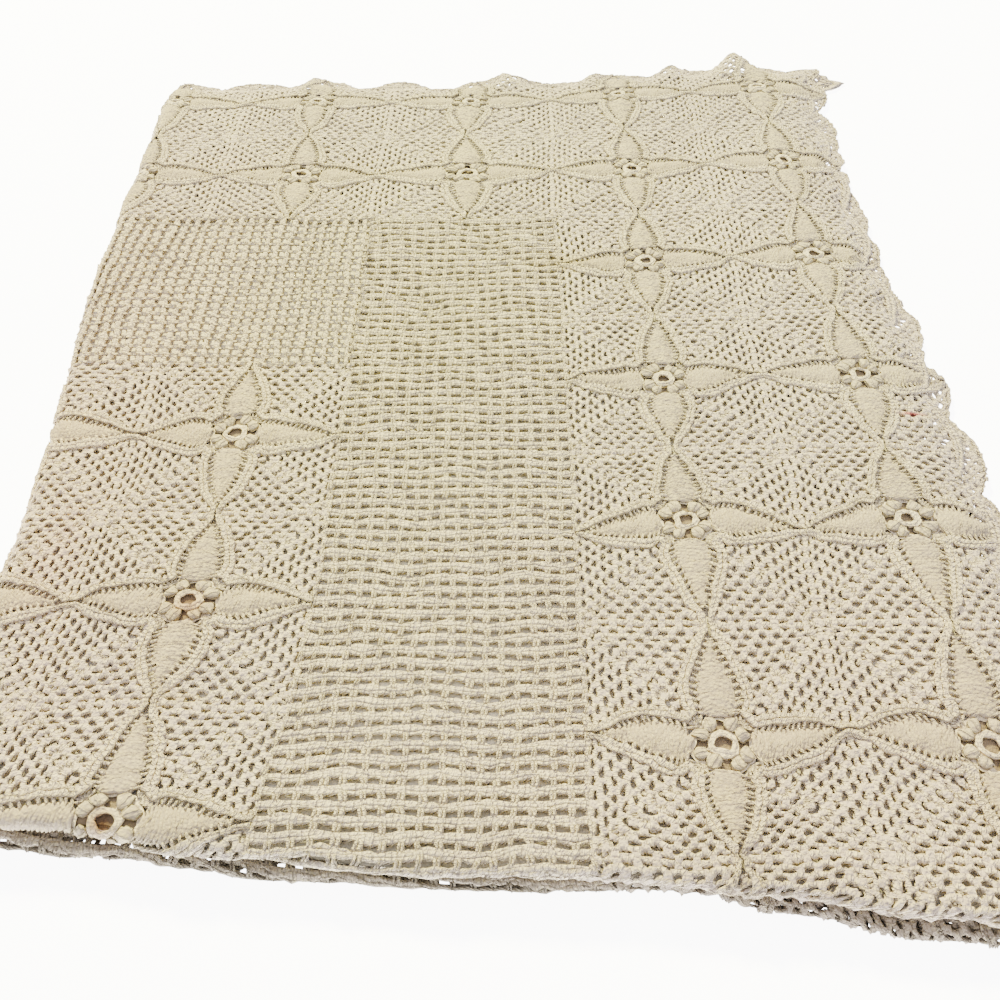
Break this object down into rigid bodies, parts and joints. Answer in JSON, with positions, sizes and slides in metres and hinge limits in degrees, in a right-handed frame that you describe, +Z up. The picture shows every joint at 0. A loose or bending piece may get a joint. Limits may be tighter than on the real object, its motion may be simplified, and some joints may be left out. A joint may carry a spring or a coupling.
{
  "type": "folded crochet bedspread",
  "caption": "Cotton crochet bedspread of raised-petal flower squares and plain openwork bands with a scalloped edge, folded in quarters and lying flat",
  "frame": {"origin": "middle of the folded stack's outline, on the surface that it lies on", "axes": "+Z up through the layers; +Y from the near folds to the far scalloped edge, the stack's long side; +X from the nested side fold to the right scalloped edge"},
  "size_m": [0.9153, 1.229, 0.0309],
  "materials": {
    "crochet_cotton": "matt ecru cotton yarn, about 2 mm thick, crocheted"
  },
  "bodies": {
    "root": {"bedspread": "crochet_cotton"}
  },
  "joints": []
}
